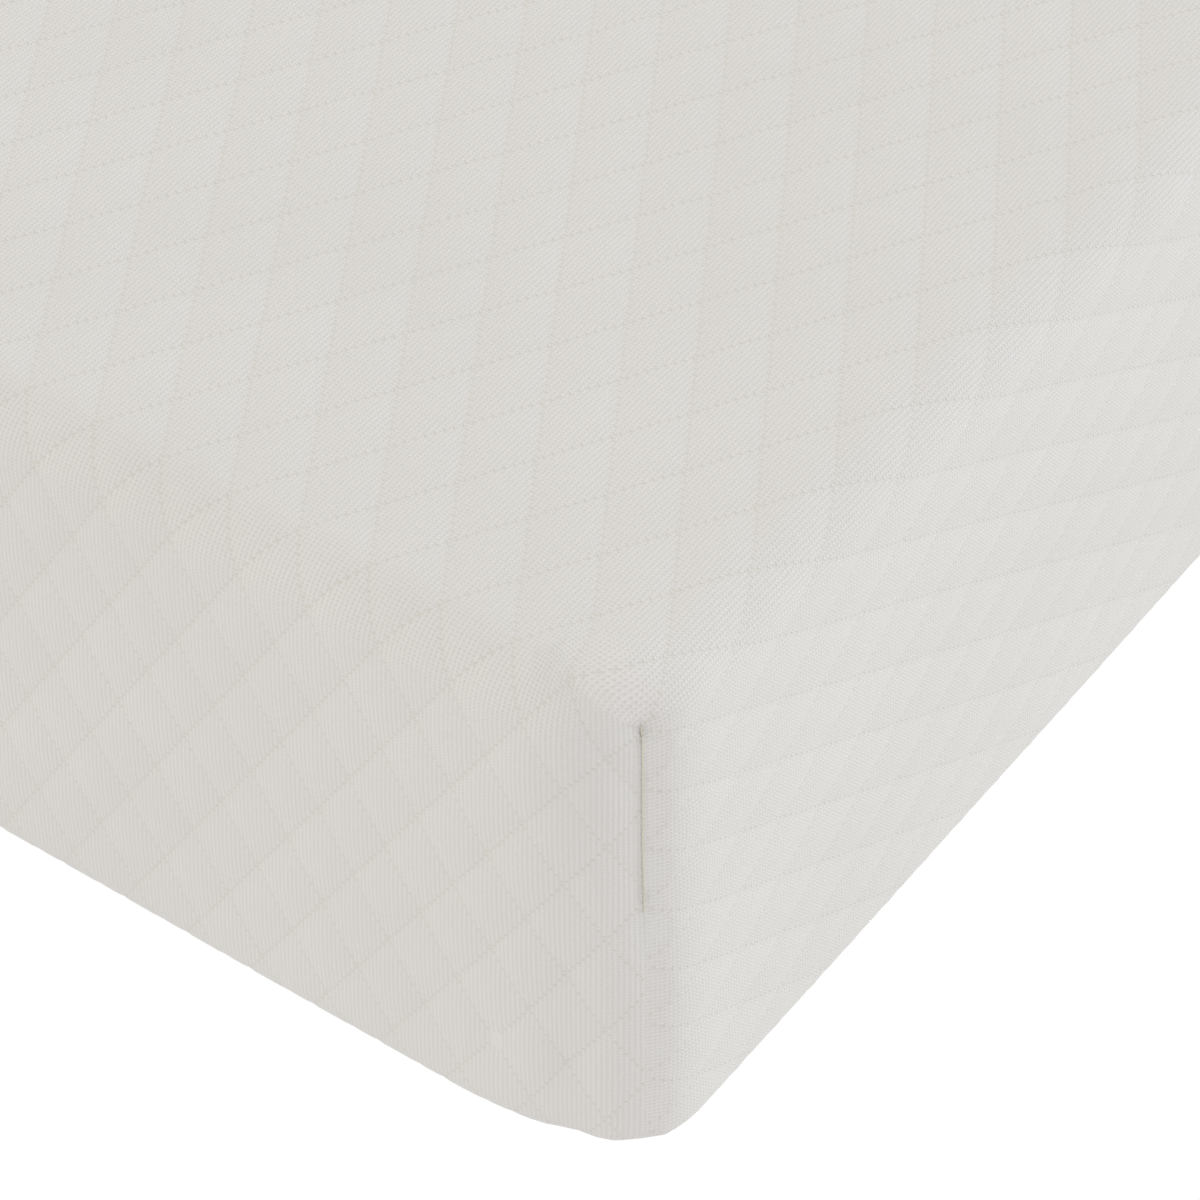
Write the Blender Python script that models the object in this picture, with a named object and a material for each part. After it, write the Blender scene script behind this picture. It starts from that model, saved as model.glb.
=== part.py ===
"""Memory foam mattress, UK single: zipped quilted cover, base panel, liner and a two-layer foam core.

Frame: origin at the middle of the underside, +Z up, length along Y (foot end at -Y), width along X.
"""

import math

import bmesh
import bpy
from mathutils import Vector

# Driving dimensions, in metres.
WIDTH = 0.900
LENGTH = 1.900
DEPTH = 0.200
TOP_EDGE_RADIUS = 0.018
BOTTOM_EDGE_RADIUS = 0.014
COVER_CORNER_RADIUS = 0.040
WADDING_CORNER_RADIUS = 0.052
CORE_CORNER_RADIUS = 0.070
GAP = 0.0003

# Depth below the outer surface at which each layer starts and ends.
FACE_FABRIC = (0.0, 0.0012)
WADDING = (0.0015, 0.0085)
BACKING = (0.0088, 0.0094)
LINER = (0.0099, 0.0107)
CORE_DEPTH = 0.0110
MEMORY_FOAM_THICKNESS = 0.050

# Underside: how far each feature lies in from the outer edge. The zip runs round in a shallow groove.
LAYER_END = 0.034
HEM_STEP_START = 0.036
HEM_STEP_END = 0.040
HEM_LIP_EDGE = 0.046
ZIP_LINE = 0.0525
PANEL_LIP_EDGE = 0.059
PANEL_STEP_START = 0.065
PANEL_STEP_END = 0.069
PANEL_WADDING_EDGE = 0.071
LINER_OPENING = 0.120
ZIP_CORNER_CENTRE = 0.090
LIP_RISE = 0.0050
PANEL_WADDING = (0.0015, 0.0092)

# Zip: heights are above the ground plane, half widths are from the zip line.
TAPE_HEIGHTS = (0.0065, 0.0070)
TAPE_HALF_GAP = 0.0010
TAPE_WIDTH = 0.0145
COIL_HEIGHTS = (0.0042, 0.0062)
COIL_HALF_WIDTHS = (0.0009, 0.0034)
SLIDER_HEIGHTS = (0.0030, 0.0082)
SLIDER_PLATE = 0.0009
SLIDER_LENGTH = 0.014
SLIDER_HALF_WIDTH = 0.0055
SLIDER_TAIL_HALF_WIDTH = 0.0046
SLIDER_TAIL_CUT = 0.0012
SLIDER_SHOULDER_CUT = 0.0022
SLIDER_SHOULDER_Y = 0.00245
SLIDER_FLANGE = 0.0009
SLIDER_FLANGE_BACK = 0.0016
SLIDER_POST = (0.0012, 0.0035)
SLIDER_POST_BACK = 0.0010
BAIL_WIDTH = 0.0020
BAIL_LENGTH = 0.0088
BAIL_BAR = 0.0008
BAIL_LOWEST = 0.0006
PULL_AXIS_HEIGHT = 0.0022
PULL_WIDTH = 0.0062
PULL_THICKNESS = 0.0010
PULL_LENGTH = 0.026
PULL_SLOT = (0.0032, 0.0060)
PULL_TIP_CUT = 0.0012
PULL_ROUND_STEPS = 8
PARK_Y = 0.830
COIL_END_Y = 0.838
COIL_START_Y = 0.858
STOP_LENGTH = 0.0022
STOP_PROUD = 0.0003

# Corner seam allowance: both plies overlocked and folded flat inside the cover.
SEAM_WIDTH = 0.012
SEAM_THICKNESS = 0.004
SEAM_BOTTOM = 0.028
SEAM_TOP = 0.172
SEAM_FROM_CORNER = 0.0349
SEAM_SQUARENESS = (0.5, 0.7)

CORNER_STEPS = 6
EDGE_STEPS = 4
SEAM_STEPS = 16
SHARP_ANGLE = math.radians(40)

HALF_WIDTH = WIDTH / 2
HALF_LENGTH = LENGTH / 2
ZIP_X = -(HALF_WIDTH - ZIP_LINE)


def clear_scene():
    for item in list(bpy.data.objects):
        bpy.data.objects.remove(item, do_unlink=True)


def make_material(name, colour, roughness, metallic=0.0):
    material = bpy.data.materials.new(name)
    material.use_nodes = True
    shader = material.node_tree.nodes["Principled BSDF"]
    shader.inputs["Base Color"].default_value = (*colour, 1.0)
    shader.inputs["Roughness"].default_value = roughness
    shader.inputs["Metallic"].default_value = metallic
    return material


def add_object(name, bm, material, smooth=True):
    """Closes off a bmesh as a named object with outward faces."""
    bmesh.ops.recalc_face_normals(bm, faces=bm.faces[:])
    mesh = bpy.data.meshes.new(name)
    bm.to_mesh(mesh)
    bm.free()
    if smooth:
        mesh.shade_smooth()
        mesh.set_sharp_from_angle(angle=SHARP_ANGLE)
    mesh.materials.append(material)
    item = bpy.data.objects.new(name, mesh)
    bpy.context.scene.collection.objects.link(item)
    return item


def outline(inset, radius):
    """Rounded rectangle, this far in from the outer edge, anticlockwise from the foot-left corner."""
    points = []
    corners = ((-1, -1, 180), (1, -1, 270), (1, 1, 0), (-1, 1, 90))
    for side_x, side_y, start in corners:
        centre_x = side_x * (HALF_WIDTH - inset - radius)
        centre_y = side_y * (HALF_LENGTH - inset - radius)
        for step in range(CORNER_STEPS + 1):
            angle = math.radians(start + 90 * step / CORNER_STEPS)
            points.append((centre_x + radius * math.cos(angle), centre_y + radius * math.sin(angle)))
    return points


def loft(rings, closed_section):
    """Skins rings of points. A closed section wraps round on itself, an open one is capped at both ends."""
    bm = bmesh.new()
    rows = [[bm.verts.new(point) for point in ring] for ring in rings]
    pairs = list(zip(rows, rows[1:]))
    if closed_section:
        pairs.append((rows[-1], rows[0]))
    count = len(rows[0])
    for lower, upper in pairs:
        for index in range(count):
            after = (index + 1) % count
            bm.faces.new((lower[index], lower[after], upper[after], upper[index]))
    if not closed_section:
        bm.faces.new(rows[0])
        bm.faces.new(rows[-1])
    return bm


def rings_from(stations):
    """Each station is (inset, corner radius, height)."""
    return [[(x, y, height) for x, y in outline(inset, radius)] for inset, radius, height in stations]


def arc_stations(depth, corner, top):
    """A quarter round over the top or bottom edge, this deep below the outer surface, side face first."""
    edge = TOP_EDGE_RADIUS if top else BOTTOM_EDGE_RADIUS
    stations = []
    for step in range(EDGE_STEPS + 1):
        angle = math.radians(90 * step / EDGE_STEPS)
        inset = edge - (edge - depth) * math.cos(angle)
        drop = edge - (edge - depth) * math.sin(angle)
        stations.append((inset, corner - inset, DEPTH - drop if top else drop))
    return stations


def skin(depth, corner, under):
    """Stations of one surface of a cover layer, from its edge underneath, up the side, to the top."""
    return under + arc_stations(depth, corner, False)[::-1] + arc_stations(depth, corner, True)


def zip_radius(inset):
    return ZIP_CORNER_CENTRE - inset


def make_cup(name, layer, corner, under_outer, under_inner, material):
    """A layer of the cover or liner: top, sides and the part turned under, open in the middle below."""
    outer = skin(layer[0], corner, under_outer)
    inner = skin(layer[1], corner, under_inner)
    return add_object(name, loft(rings_from(inner[::-1] + outer), False), material)


def make_face_fabric(material):
    thickness = FACE_FABRIC[1]
    lip = LIP_RISE
    outer = [
        (HEM_LIP_EDGE, zip_radius(HEM_LIP_EDGE), lip),
        (HEM_STEP_END, zip_radius(HEM_STEP_END), lip),
        (HEM_STEP_START, zip_radius(HEM_STEP_START), 0.0),
    ]
    inner = [(inset, radius, height + thickness) for inset, radius, height in outer]
    return make_cup("quilt_face_fabric", FACE_FABRIC, COVER_CORNER_RADIUS, outer, inner, material)


def make_layer(name, layer, material):
    """Wadding or backing: it stops short of the hem's step, and its corners are rounder than the fabric's."""
    radius = zip_radius(LAYER_END)
    outer = [(LAYER_END, radius, layer[0])]
    inner = [(LAYER_END, radius, layer[1])]
    return make_cup(name, layer, WADDING_CORNER_RADIUS, outer, inner, material)


def make_liner(material):
    outer = [(LINER_OPENING, CORE_CORNER_RADIUS, LINER[0])]
    inner = [(LINER_OPENING, CORE_CORNER_RADIUS, LINER[1])]
    return make_cup("inner_liner", LINER, CORE_CORNER_RADIUS, outer, inner, material)


def make_foam(memory_material, base_material):
    split = DEPTH - CORE_DEPTH - MEMORY_FOAM_THICKNESS
    side = (CORE_DEPTH, CORE_CORNER_RADIUS - CORE_DEPTH)
    upper = [(*side, split)] + arc_stations(CORE_DEPTH, CORE_CORNER_RADIUS, True)
    lower = arc_stations(CORE_DEPTH, CORE_CORNER_RADIUS, False)[::-1] + [(*side, split - GAP)]
    add_object("memory_foam_layer", loft(rings_from(upper), False), memory_material)
    add_object("base_foam_layer", loft(rings_from(lower), False), base_material)


def make_base_panel(fabric_material, wadding_material):
    thickness = FACE_FABRIC[1]
    under = [
        (PANEL_STEP_END, zip_radius(PANEL_STEP_END), 0.0),
        (PANEL_STEP_START, zip_radius(PANEL_STEP_START), LIP_RISE),
        (PANEL_LIP_EDGE, zip_radius(PANEL_LIP_EDGE), LIP_RISE),
    ]
    over = [(inset, radius, height + thickness) for inset, radius, height in under[::-1]]
    add_object("base_panel_fabric", loft(rings_from(under + over), False), fabric_material)
    slab = [(PANEL_WADDING_EDGE, zip_radius(PANEL_WADDING_EDGE), height) for height in PANEL_WADDING]
    add_object("base_panel_wadding", loft(rings_from(slab), False), wadding_material)


def squared_off(value, power):
    return math.copysign(abs(value) ** power, value)


def make_corner_seams(material):
    """One strip of seam allowance up each corner, square to the corner's diagonal."""
    names = {(-1, -1): "foot_left", (1, -1): "foot_right", (1, 1): "head_right", (-1, 1): "head_left"}
    for (side_x, side_y), place in names.items():
        inwards = Vector((-side_x, -side_y, 0)).normalized()
        along = Vector((-side_y, side_x, 0)).normalized()
        centre = Vector((side_x * HALF_WIDTH, side_y * HALF_LENGTH, 0)) + inwards * SEAM_FROM_CORNER
        rings = []
        for height in (SEAM_BOTTOM, SEAM_TOP):
            ring = []
            for step in range(SEAM_STEPS):
                angle = 2 * math.pi * (step + 0.5) / SEAM_STEPS
                # A flattened oval: the powers square it off towards a strip with soft edges.
                across = squared_off(math.cos(angle), SEAM_SQUARENESS[0]) * SEAM_WIDTH / 2
                through = squared_off(math.sin(angle), SEAM_SQUARENESS[1]) * SEAM_THICKNESS / 2
                point = centre + along * across + inwards * through
                ring.append((point.x, point.y, height))
            rings.append(ring)
        add_object("corner_seam_" + place, loft(rings, False), material)


def make_zip_tape(name, inner_side, material):
    if inner_side:
        insets = (ZIP_LINE + TAPE_HALF_GAP, ZIP_LINE + TAPE_WIDTH + TAPE_HALF_GAP)
    else:
        insets = (ZIP_LINE - TAPE_WIDTH - TAPE_HALF_GAP, ZIP_LINE - TAPE_HALF_GAP)
    low, high = TAPE_HEIGHTS
    section = [(insets[0], low), (insets[1], low), (insets[1], high), (insets[0], high)]
    stations = [(inset, zip_radius(inset), height) for inset, height in section]
    return add_object(name, loft(rings_from(stations), True), material, smooth=False)


def zip_path(inset):
    """Open path round the mattress, from one end of the coil to the other, both on the left long side."""
    x = -(HALF_WIDTH - inset)
    return [(x, COIL_END_Y)] + outline(inset, zip_radius(inset)) + [(x, COIL_START_Y)]


def make_coil(name, inner_side, material):
    """One row of the zip's coil as a plain bar with chamfered edges."""
    near, far = COIL_HALF_WIDTHS
    low, high = COIL_HEIGHTS
    chamfer = (high - low) / 4
    section = [
        (near + chamfer, low), (far - chamfer, low), (far, low + chamfer), (far, high - chamfer),
        (far - chamfer, high), (near + chamfer, high), (near, high - chamfer), (near, low + chamfer),
    ]
    side = 1 if inner_side else -1
    columns = [[(x, y, height) for x, y in zip_path(ZIP_LINE + side * offset)] for offset, height in section]
    sections = [list(ring) for ring in zip(*columns)]
    return add_object(name, loft(sections, False), material)


def make_box(bm, low, high):
    corners = [(x, y, z) for z in (low[2], high[2]) for y in (low[1], high[1]) for x in (low[0], high[0])]
    verts = [bm.verts.new(corner) for corner in corners]
    sides = ((0, 1, 3, 2), (4, 5, 7, 6), (0, 1, 5, 4), (2, 3, 7, 6), (0, 2, 6, 4), (1, 3, 7, 5))
    for side in sides:
        bm.faces.new([verts[index] for index in side])


def box_object(name, low, high, material=None):
    bm = bmesh.new()
    make_box(bm, low, high)
    bmesh.ops.recalc_face_normals(bm, faces=bm.faces[:])
    mesh = bpy.data.meshes.new(name)
    bm.to_mesh(mesh)
    bm.free()
    if material:
        mesh.materials.append(material)
    item = bpy.data.objects.new(name, mesh)
    bpy.context.scene.collection.objects.link(item)
    return item


def add_boolean(item, tool, operation):
    """The tool stays in the scene as a hidden helper."""
    tool.hide_render = True
    tool.display_type = "WIRE"
    modifier = item.modifiers.new(operation.title(), "BOOLEAN")
    modifier.operation = operation
    modifier.solver = "EXACT"
    modifier.object = tool


def slider_plate(name, low, high):
    """Plan of a slider plate: wide at the shoulders, narrower at the tail, corners cut off."""
    wide = SLIDER_HALF_WIDTH
    tail = SLIDER_TAIL_HALF_WIDTH
    half = SLIDER_LENGTH / 2
    side = [
        (tail - SLIDER_TAIL_CUT, -half), (tail, -half + SLIDER_TAIL_CUT), (wide, SLIDER_SHOULDER_Y),
        (wide, half - SLIDER_SHOULDER_CUT), (wide - SLIDER_SHOULDER_CUT, half),
    ]
    plan = side + [(-x, y) for x, y in side[::-1]]
    rings = [[(ZIP_X + x, PARK_Y + y, height) for x, y in plan] for height in (low, high)]
    bm = loft(rings, False)
    bmesh.ops.recalc_face_normals(bm, faces=bm.faces[:])
    mesh = bpy.data.meshes.new(name)
    bm.to_mesh(mesh)
    bm.free()
    item = bpy.data.objects.new(name, mesh)
    bpy.context.scene.collection.objects.link(item)
    return item


def make_slider(material):
    """Two plates joined by the front post, flanges on the lower plate, and the bail that holds the pull."""
    low, high = SLIDER_HEIGHTS
    half = SLIDER_LENGTH / 2
    slider = slider_plate("zip_slider", low, low + SLIDER_PLATE)
    slider.data.materials.append(material)
    add_boolean(slider, slider_plate("slider_upper_plate", high - SLIDER_PLATE, high), "UNION")
    post_width, post_length = SLIDER_POST
    post_front = PARK_Y + half - SLIDER_POST_BACK
    post = box_object(
        "slider_post",
        (ZIP_X - post_width / 2, post_front - post_length, low + SLIDER_PLATE / 2),
        (ZIP_X + post_width / 2, post_front, high - SLIDER_PLATE / 2),
    )
    add_boolean(slider, post, "UNION")
    flange_top = TAPE_HEIGHTS[0] - GAP
    for side in (-1, 1):
        outer = side * SLIDER_TAIL_HALF_WIDTH
        inner = side * (SLIDER_TAIL_HALF_WIDTH - SLIDER_FLANGE)
        flange = box_object(
            "slider_flange_" + ("left" if side < 0 else "right"),
            (ZIP_X + min(outer, inner), PARK_Y - half + SLIDER_FLANGE_BACK, low + SLIDER_PLATE / 2),
            (ZIP_X + max(outer, inner), PARK_Y + SLIDER_SHOULDER_Y, flange_top),
        )
        add_boolean(slider, flange, "UNION")
    bail = box_object(
        "slider_bail",
        (ZIP_X - BAIL_WIDTH / 2, PARK_Y - BAIL_LENGTH / 2, BAIL_LOWEST),
        (ZIP_X + BAIL_WIDTH / 2, PARK_Y + BAIL_LENGTH / 2, low + SLIDER_PLATE / 2),
    )
    window = box_object(
        "slider_bail_window",
        (ZIP_X - BAIL_WIDTH, PARK_Y - BAIL_LENGTH / 2 + BAIL_BAR, BAIL_LOWEST + BAIL_BAR),
        (ZIP_X + BAIL_WIDTH, PARK_Y + BAIL_LENGTH / 2 - BAIL_BAR, low),
    )
    add_boolean(bail, window, "DIFFERENCE")
    add_boolean(slider, bail, "UNION")
    return slider


def make_pull(material):
    """Flat tab lying under the slider, its round crossbar held in the bail, with the hinge axis along X."""
    radius = PULL_THICKNESS / 2
    slot_width, slot_length = PULL_SLOT
    profile = []
    for step in range(PULL_ROUND_STEPS + 1):
        angle = math.radians(90 - 180 * step / PULL_ROUND_STEPS)
        profile.append((radius * math.cos(angle), radius * math.sin(angle)))
    tip = PULL_LENGTH - PULL_TIP_CUT
    profile += [(-tip, -radius), (-PULL_LENGTH, -radius / 2), (-PULL_LENGTH, radius / 2), (-tip, radius)]
    rings = []
    for side in (-1, 1):
        x = ZIP_X + side * PULL_WIDTH / 2
        rings.append([(x, PARK_Y + y, PULL_AXIS_HEIGHT + z) for y, z in profile])
    pull = add_object("zip_pull_tab", loft(rings, False), material)
    slot = box_object(
        "pull_slot",
        (ZIP_X - slot_width / 2, PARK_Y - slot_length, PULL_AXIS_HEIGHT - PULL_THICKNESS),
        (ZIP_X + slot_width / 2, PARK_Y - radius, PULL_AXIS_HEIGHT + PULL_THICKNESS),
    )
    add_boolean(pull, slot, "DIFFERENCE")
    set_origin(pull, (ZIP_X, PARK_Y, PULL_AXIS_HEIGHT))
    return pull


def set_origin(item, place):
    """Moves an object's origin without moving its shape."""
    for vert in item.data.vertices:
        vert.co -= Vector(place)
    item.location = place


def make_stops(material):
    """A top stop closes off the end of each row. The bottom stop bridges both rows at their start."""
    near, far = COIL_HALF_WIDTHS
    low, high = COIL_HEIGHTS
    low -= STOP_PROUD
    far += STOP_PROUD
    start = COIL_END_Y + GAP
    end = start + STOP_LENGTH
    # The outer row is the one nearer the mattress's edge, so it is on the -X side here.
    box_object("zip_top_stop_outer", (ZIP_X - far, start, low), (ZIP_X - near, end, high), material)
    box_object("zip_top_stop_inner", (ZIP_X + near, start, low), (ZIP_X + far, end, high), material)
    end = COIL_START_Y - GAP
    start = end - STOP_LENGTH
    box_object("zip_bottom_stop", (ZIP_X - far, start, low), (ZIP_X + far, end, high), material)


def build():
    clear_scene()
    face = make_material("face_knit", (0.68, 0.66, 0.61), 0.9)
    fill = make_material("polyester_wadding", (0.85, 0.85, 0.83), 1.0)
    backing = make_material("nonwoven_backing", (0.78, 0.78, 0.76), 0.95)
    panel = make_material("base_panel_knit", (0.62, 0.61, 0.58), 0.9)
    tape = make_material("zip_tape_weave", (0.74, 0.73, 0.70), 0.8)
    coil = make_material("zip_coil_nylon", (0.80, 0.79, 0.76), 0.45)
    metal = make_material("zip_metal", (0.60, 0.60, 0.58), 0.3, 1.0)
    liner = make_material("liner_knit", (0.82, 0.82, 0.80), 0.95)
    memory = make_material("memory_foam", (0.86, 0.84, 0.74), 0.95)
    reflex = make_material("base_foam", (0.84, 0.85, 0.86), 0.95)

    make_face_fabric(face)
    make_layer("quilt_wadding", WADDING, fill)
    make_layer("quilt_backing", BACKING, backing)
    make_corner_seams(face)
    make_base_panel(panel, fill)
    make_zip_tape("zip_tape_outer", False, tape)
    make_zip_tape("zip_tape_inner", True, tape)
    make_coil("zip_coil_outer", False, coil)
    make_coil("zip_coil_inner", True, coil)
    make_slider(metal)
    make_pull(metal)
    make_stops(metal)
    make_liner(liner)
    make_foam(memory, reflex)


build()
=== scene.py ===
import math

import bmesh
import bpy
import numpy as np
from mathutils import Matrix, Vector


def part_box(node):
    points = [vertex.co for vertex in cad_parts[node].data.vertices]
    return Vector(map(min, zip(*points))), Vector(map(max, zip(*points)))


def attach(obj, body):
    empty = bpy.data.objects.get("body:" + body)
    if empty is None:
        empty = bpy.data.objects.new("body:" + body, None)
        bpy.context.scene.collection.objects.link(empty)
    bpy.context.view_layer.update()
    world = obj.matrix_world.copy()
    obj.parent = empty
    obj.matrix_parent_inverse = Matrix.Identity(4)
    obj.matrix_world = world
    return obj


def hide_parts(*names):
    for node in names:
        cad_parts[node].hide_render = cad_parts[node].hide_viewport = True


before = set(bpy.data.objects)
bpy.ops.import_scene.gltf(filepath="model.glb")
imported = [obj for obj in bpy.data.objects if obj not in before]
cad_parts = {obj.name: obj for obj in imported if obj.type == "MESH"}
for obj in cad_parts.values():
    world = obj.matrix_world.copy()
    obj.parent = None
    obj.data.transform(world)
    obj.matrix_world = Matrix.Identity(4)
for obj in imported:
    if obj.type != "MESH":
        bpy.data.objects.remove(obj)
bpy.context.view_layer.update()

# Overall sizes come from the cover in the frame, everything else hangs on them.
low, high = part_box("quilt_face_fabric")
halfWidth = high.x
halfLength = high.y
depth = high.z

# How the cover is shaped: the same rounding as the frame, all in metres.
cover = {
    "cornerRadius": 0.040,
    "topRadius": 0.018,
    "bottomRadius": 0.014,
    "liningCornerRadius": 0.052,
    "liningDepth": 0.0014,
    "quiltEnd": 0.2445,  # how far the quilting runs down the side and under, from where the corner starts
    "lipInset": 0.046,
    "lipRise": 0.0050,
    "lipThickness": 0.0012,
    "lipCornerCentre": 0.090,  # corner centres of everything round the zip
    "kneeBeforeCorner": 0.010,  # how long before the corner the hem's points start to crowd
    "hemCornerFrom": 0.020,  # the hem's corner opens out between these two distances in
    "hemCornerTo": 0.0345,
}
flatRun = cover["cornerRadius"] - cover["topRadius"]
wallHeight = depth - cover["topRadius"] - cover["bottomRadius"]

# The quilted knit: diamonds, and how they sit against the foot right corner.
quilt = {
    "diamondWidth": 0.0252,
    "diamondLength": 0.0418,
    "shiftA": 0.405,  # place of the two families of lines, in diamonds
    "shiftB": 0.70,
    "puff": 0.0014,  # height of a diamond's middle above its edges
    "sink": 0.0007,  # depth of the edges below the plain surface
    "crease": 0.85,  # 0 rounds each diamond like a pillow, 1 only creases the lines
    "hemPuff": 0.25,  # share of the puff left at the bottom edge, where the cover is pulled tight
    "walesPerDiamond": 16,
    "coursesPerDiamond": 32,
    "nodes": (0.0, 0.09, 0.27, 0.5, 0.73, 0.91),
}

# The corner seam sits towards the long side. Both flaps turn in beside it, the end flap over a wider strip.
seam = {
    "turn": math.radians(57),  # how far round the corner the seam is, from the end face
    "deep": 0.0020,  # how far the cloth turns in over the upper half
    "shallow": 0.0008,  # and over the lower half
    "deepWidth": 0.0085,  # width of the turned-in strip on the end flap
    "shallowWidth": 0.0028,  # and on the side flap
    "pucker": 0.0012,  # depth of the dimple where the seam runs out on top
    "puckerWidth": 0.0040,
    "lip": 0.0006,
    "gap": 0.004,  # share of the corner's turn left open between the flaps
    "cornerCut": 0.0040,  # how far the end flap is drawn in beside the lower half of the corner
    "sideLean": 0.0036,  # how far the long sides stand out at the bottom
    "cornerSwell": 0.20,  # and how much further still beside the seam
}
endReach = cover["cornerRadius"] * seam["turn"]  # cloth from the straight end to the seam
sideReach = cover["cornerRadius"] * (math.pi / 2 - seam["turn"])  # and from the straight long side


def smoothStep(value, start, end):
    share = np.clip((value - start) / (end - start), 0.0, 1.0)
    return share * share * (3 - 2 * share)


def calc(tree, operation, *values):
    # One Math node: each value is a number or a socket.
    node = tree.nodes.new("ShaderNodeMath")
    node.operation = operation
    for slot, value in zip(node.inputs, values):
        if isinstance(value, (int, float)):
            slot.default_value = value
        else:
            tree.links.new(value, slot)
    return node.outputs[0]


def blendColours(tree, share, first, second):
    node = tree.nodes.new("ShaderNodeMix")
    node.data_type = "RGBA"
    if isinstance(share, (int, float)):
        node.inputs[0].default_value = share
    else:
        tree.links.new(share, node.inputs[0])
    for slot, value in ((node.inputs[6], first), (node.inputs[7], second)):
        if isinstance(value, tuple):
            slot.default_value = (*value, 1.0)
        else:
            tree.links.new(value, slot)
    return node.outputs[2]


def newMaterial(name, roughness, specular=0.25, metallic=0.0, sheen=0.0):
    material = bpy.data.materials.new(name)
    material.use_nodes = True
    tree = material.node_tree
    shader = tree.nodes["Principled BSDF"]
    shader.inputs["Roughness"].default_value = roughness
    shader.inputs["Specular IOR Level"].default_value = specular
    shader.inputs["Metallic"].default_value = metallic
    shader.inputs["Sheen Weight"].default_value = sheen
    shader.inputs["Sheen Roughness"].default_value = 0.6
    return material, tree, shader


def finishShader(tree, shader, colour, height, bumpDistance):
    bump = tree.nodes.new("ShaderNodeBump")
    bump.inputs["Distance"].default_value = bumpDistance
    tree.links.new(height, bump.inputs["Height"])
    tree.links.new(bump.outputs[0], shader.inputs["Normal"])
    tree.links.new(colour, shader.inputs["Base Color"])


def noise(tree, where, scale, detail=2.0, roughness=0.5):
    node = tree.nodes.new("ShaderNodeTexNoise")
    node.inputs["Scale"].default_value = scale
    node.inputs["Detail"].default_value = detail
    node.inputs["Roughness"].default_value = roughness
    tree.links.new(where, node.inputs["Vector"])
    return node.outputs[0]


def objectPlace(tree):
    return tree.nodes.new("ShaderNodeTexCoord").outputs["Object"]


def fabricPlace(tree):
    node = tree.nodes.new("ShaderNodeUVMap")
    node.uv_map = "fabric"
    split = tree.nodes.new("ShaderNodeSeparateXYZ")
    tree.links.new(node.outputs[0], split.inputs[0])
    return node.outputs[0], split.outputs[0], split.outputs[1]


def centred(tree, value):
    # Signed distance to the nearest whole number.
    return calc(tree, "SUBTRACT", value, calc(tree, "FLOOR", calc(tree, "ADD", value, 0.5)))


def spot(tree, acrossShare, alongShare, acrossSharpness, alongSharpness):
    # A soft dot: 1 in its middle, falling off like a bell.
    across = calc(tree, "MULTIPLY", acrossShare, acrossSharpness)
    along = calc(tree, "MULTIPLY", alongShare, alongSharpness)
    alongSquare = calc(tree, "MULTIPLY", along, along)
    squares = calc(tree, "ADD", calc(tree, "MULTIPLY", across, across), alongSquare)
    return calc(tree, "EXPONENT", calc(tree, "MULTIPLY", squares, -1.0))


# The knit's finish. Heights are in millimetres, colours are linear.
knitLook = {
    "yarn": (0.735, 0.712, 0.688),
    # The second and third colours are painted shade: the yarn darkened in the grooves between ribs and in
    # the eyelet holes.
    "groove": (0.585, 0.563, 0.530),
    "eyeletShade": (0.590, 0.565, 0.505),
    "ribHeight": 0.085,
    "loopHeight": 0.06,
    "courseHeight": 0.02,
    "eyeletDepth": 0.10,
    "fuzzHeight": 0.05,
    "eyeletAcross": 2.7,  # one over the dot's half width, in wales
    "eyeletAlong": 80.0,  # one over its half length, in diamond lengths
}


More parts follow.
